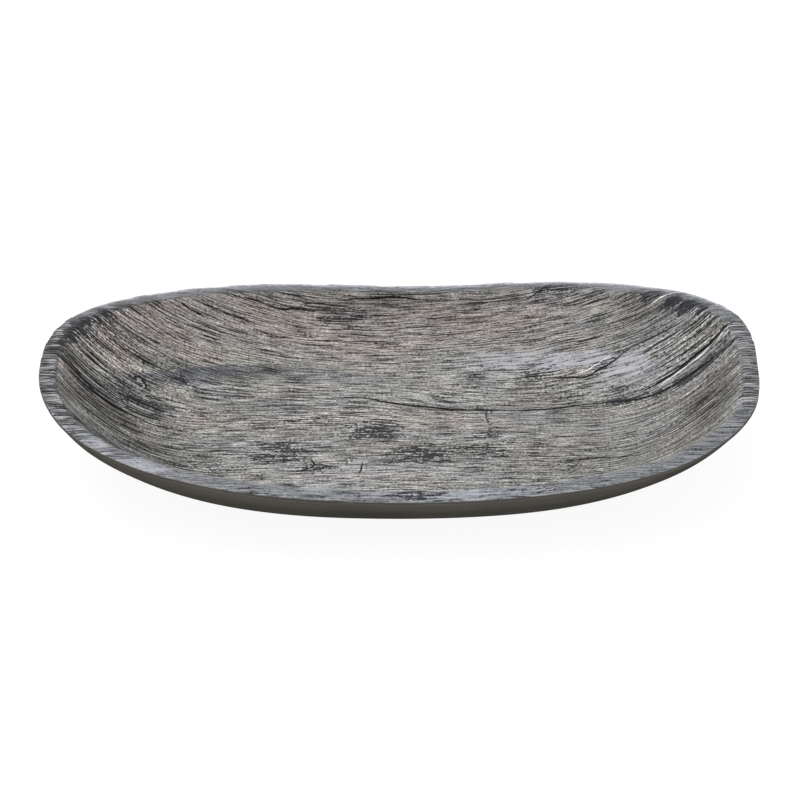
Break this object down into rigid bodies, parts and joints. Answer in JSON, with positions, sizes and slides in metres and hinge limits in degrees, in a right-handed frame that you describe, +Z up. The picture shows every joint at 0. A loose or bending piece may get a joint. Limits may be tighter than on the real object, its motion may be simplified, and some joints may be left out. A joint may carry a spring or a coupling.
{
  "type": "salad bowl",
  "caption": "Shallow oval serving bowl with a rim that sweeps up at both ends, a weathered grey wood-grain face inside and a plain taupe moulded underside.",
  "frame": {"origin": "on the table under the middle of the bowl", "axes": "+X along the bowl towards its squarer end, +Z up, +Y across the bowl away from the picture's viewer"},
  "size_m": [0.406, 0.229, 0.0577],
  "materials": {
    "taupe_moulding": "smooth moulded resin, dark taupe, satin",
    "weathered_grain": "weathered grey wood grain with fine cracks and dark stains, lightly embossed, satin"
  },
  "bodies": {
    "root": {"moulded_body": "taupe_moulding", "wood_grain_face": "weathered_grain"}
  },
  "joints": []
}
